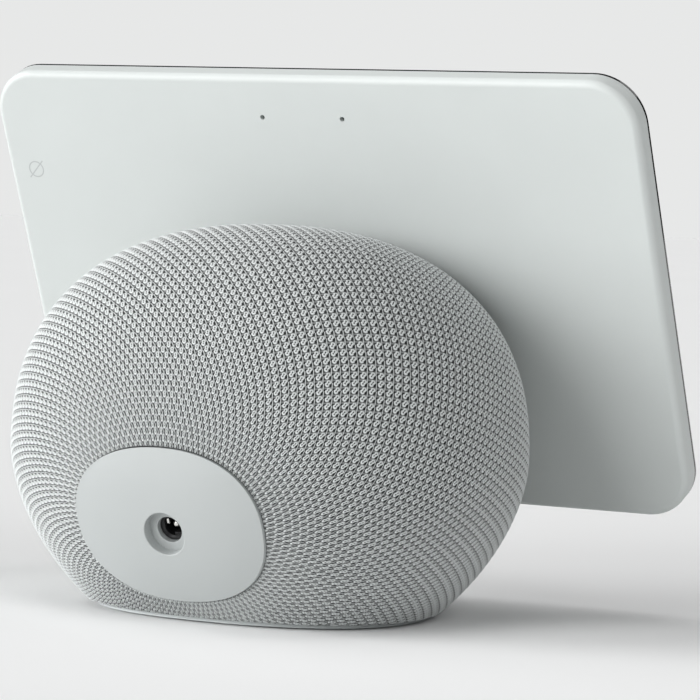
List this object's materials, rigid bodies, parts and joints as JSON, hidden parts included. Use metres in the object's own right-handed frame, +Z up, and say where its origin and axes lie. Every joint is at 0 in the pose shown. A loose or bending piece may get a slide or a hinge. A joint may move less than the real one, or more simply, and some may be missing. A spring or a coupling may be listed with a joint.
{
  "type": "smart display",
  "caption": "Smart display: a thin tilted touch screen with a white rear housing, fixed in front of a rounded knit-covered speaker base with a rear power inlet.",
  "frame": {"origin": "on the table under the upright axis of the base, in the middle of the foot pad", "axes": "+Z up, +Y towards the rear (the screen faces -Y), +X to the right of a person who looks at the screen"},
  "size_m": [0.2114, 0.1285, 0.1553],
  "materials": {
    "black_glass": "polished, black printed border",
    "adhesive_black": "soft black foam tape",
    "lcd_dark": "switched-off display cell",
    "backlight_white": "white reflector tray",
    "cast_frame": "bead-blasted die casting",
    "housing_white": "fine matt moulded, cool white",
    "button_white": "fine matt moulded",
    "module_black": "black moulded",
    "lens_glass": "coated lens",
    "board_green": "solder mask",
    "chip_black": "epoxy package",
    "foam_black": "closed-cell foam",
    "switch_metal": "stamped",
    "antenna_copper": "copper foil on film",
    "screw_steel": "zinc plated",
    "sheet_steel": "stamped sheet",
    "flex_amber": "polyimide ribbon",
    "collar_grey": "dark grey moulded",
    "knit_grey": "fine raised knit, light grey",
    "shell_grey": "dark moulded shell",
    "plate_white": "fine matt moulded, cool light grey",
    "foot_plastic": "matt moulded",
    "foot_rubber": "soft grey",
    "jack_black": "glass-filled nylon",
    "contact_silver": "nickel plated",
    "sink_aluminium": "extruded",
    "magnet_ferrite": "sintered ferrite",
    "plated_steel": "zinc plated",
    "basket_steel": "black e-coat",
    "coil_copper": "enamelled copper wire",
    "cone_paper": "coated paper pulp",
    "surround_rubber": "butyl rubber",
    "spider_cloth": "resin-treated cotton",
    "capacitor_sleeve": "shrink sleeve"
  },
  "bodies": {
    "housing": {"cover_glass": "black_glass", "glass_adhesive": "adhesive_black", "lcd_cell": "lcd_dark", "backlight_unit": "backlight_white", "head_midframe": "cast_frame", "rear_housing": "housing_white", "camera_module": "module_black", "camera_lens": "lens_glass", "light_sensor": "chip_black", "mic_board": "board_green", "rear_microphones": "switch_metal", "mic_gaskets": "foam_black", "key_switches": "switch_metal", "side_key_board": "board_green", "wifi_antennas": "antenna_copper", "head_screws": "screw_steel", "neck_collar": "collar_grey", "neck_bracket": "cast_frame", "neck_plate": "sheet_steel", "neck_screws": "screw_steel", "display_flex": "flex_amber", "fabric_cover": "knit_grey", "front_shell": "shell_grey", "rear_shell": "shell_grey", "rear_plate": "plate_white", "base_plate": "foot_plastic", "foot_pad": "foot_rubber", "speaker_chassis": "shell_grey", "base_screws": "screw_steel", "dc_jack_housing": "jack_black", "dc_jack_pin": "contact_silver", "dc_jack_contact": "contact_silver", "power_board": "board_green", "power_capacitors": "capacitor_sleeve", "main_board": "board_green", "board_screws": "screw_steel", "processor_chips": "chip_black", "shield_can": "sheet_steel", "heat_sink": "sink_aluminium", "woofer_basket": "basket_steel", "woofer_top_plate": "plated_steel", "woofer_magnet": "magnet_ferrite", "woofer_yoke": "plated_steel", "woofer_surround": "surround_rubber", "woofer_spider": "spider_cloth", "speaker_screws": "screw_steel", "left_driver_basket": "basket_steel", "left_driver_magnet": "magnet_ferrite", "left_driver_surround": "surround_rubber", "right_driver_basket": "basket_steel", "right_driver_magnet": "magnet_ferrite", "right_driver_surround": "surround_rubber"},
    "mute_key": {"mute_button": "button_white"},
    "volume_up_key": {"volume_up_button": "button_white"},
    "volume_down_key": {"volume_down_button": "button_white"},
    "woofer_diaphragm": {"woofer_cone": "cone_paper", "woofer_voice_coil": "coil_copper"},
    "left_diaphragm": {"left_driver_cone": "cone_paper"},
    "right_diaphragm": {"right_driver_cone": "cone_paper"}
  },
  "joints": [
    {"name": "mute_press", "type": "slide", "parent": "housing", "child": "mute_key", "axis": [-1, 0, 0], "range_m": [0, 0.00035], "stiffness_N_per_m": 2800},
    {"name": "volume_up_press", "type": "slide", "parent": "housing", "child": "volume_up_key", "axis": [-1, 0, 0], "range_m": [0, 0.00035], "stiffness_N_per_m": 2800},
    {"name": "volume_down_press", "type": "slide", "parent": "housing", "child": "volume_down_key", "axis": [-1, 0, 0], "range_m": [0, 0.00035], "stiffness_N_per_m": 2800},
    {"name": "woofer_excursion", "type": "slide", "parent": "housing", "child": "woofer_diaphragm", "axis": [0, 0, 1], "range_m": [-0.003, 0.003], "stiffness_N_per_m": 2600, "deforming": ["woofer_surround", "woofer_spider"]},
    {"name": "left_driver_excursion", "type": "slide", "parent": "housing", "child": "left_diaphragm", "axis": [-1, 0, 0], "range_m": [-0.001, 0.001], "stiffness_N_per_m": 2200, "deforming": ["left_driver_surround"]},
    {"name": "right_driver_excursion", "type": "slide", "parent": "housing", "child": "right_diaphragm", "axis": [1, 0, 0], "range_m": [-0.001, 0.001], "stiffness_N_per_m": 2200, "deforming": ["right_driver_surround"]}
  ]
}
